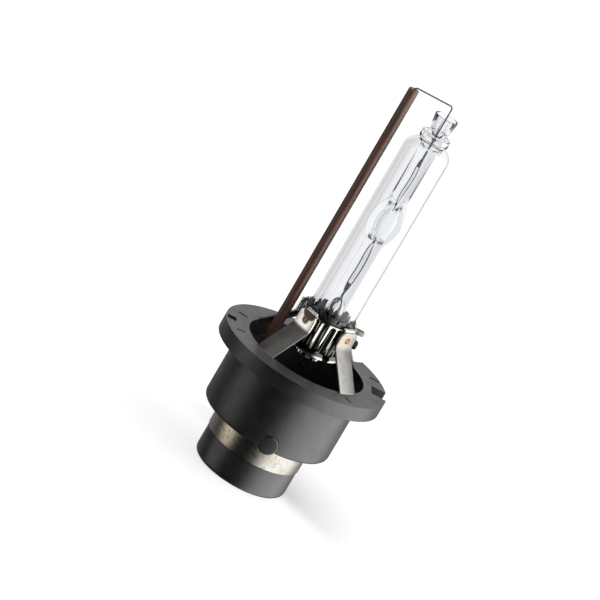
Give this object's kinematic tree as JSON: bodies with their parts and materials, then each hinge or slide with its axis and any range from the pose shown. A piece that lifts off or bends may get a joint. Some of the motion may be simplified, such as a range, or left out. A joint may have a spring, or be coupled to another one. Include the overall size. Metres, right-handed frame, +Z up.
{
  "type": "headlight bulb",
  "caption": "Gas-discharge headlight bulb: flanged black base with ring contact, clamped quartz burner on sheet-metal legs, and a ceramic-sleeved return wire beside it",
  "frame": {"origin": "centre of the connector's bottom rim, which the bulb stands on", "axes": "+Z up the bulb's axis from connector to burner; the ceramic tube is at -X, the flange keyway at +X, and the bayonet pegs at -Y and +Y"},
  "size_m": [0.0319, 0.032, 0.0771],
  "materials": {
    "housing_plastic": "fine moulded, slight sheen",
    "insulator_plastic": "fine moulded",
    "peg_plastic": "satin",
    "ring_steel": "drawn, lightly stained",
    "contact_metal": "turned",
    "terminal_steel": "stamped",
    "leg_steel": "matt stamped strip",
    "clamp_steel": "bright stamped sheet",
    "grip_steel": "dull grey",
    "outer_quartz": "clear",
    "inner_quartz": "clear",
    "tungsten": "dull dark metal",
    "molybdenum": "thin foil",
    "lead_wire": "drawn wire",
    "brown_ceramic": "unglazed",
    "potting": "cured compound"
  },
  "bodies": {
    "root": {"base_housing": "housing_plastic", "connector_insulator": "insulator_plastic", "contact_ring": "ring_steel", "bayonet_peg_front": "peg_plastic", "bayonet_peg_rear": "peg_plastic", "centre_contact": "contact_metal", "return_terminal": "terminal_steel", "potting_plug": "potting", "leg_front_left": "leg_steel", "leg_front_right": "leg_steel", "leg_rear_left": "leg_steel", "leg_rear_right": "leg_steel", "clamp_band": "clamp_steel", "grip_ring": "grip_steel", "outer_bulb": "outer_quartz", "arc_tube": "inner_quartz", "upper_electrode": "tungsten", "lower_electrode": "tungsten", "upper_foil": "molybdenum", "lower_foil": "molybdenum", "return_wire": "lead_wire", "lower_lead": "lead_wire", "ceramic_tube": "brown_ceramic"}
  },
  "joints": []
}
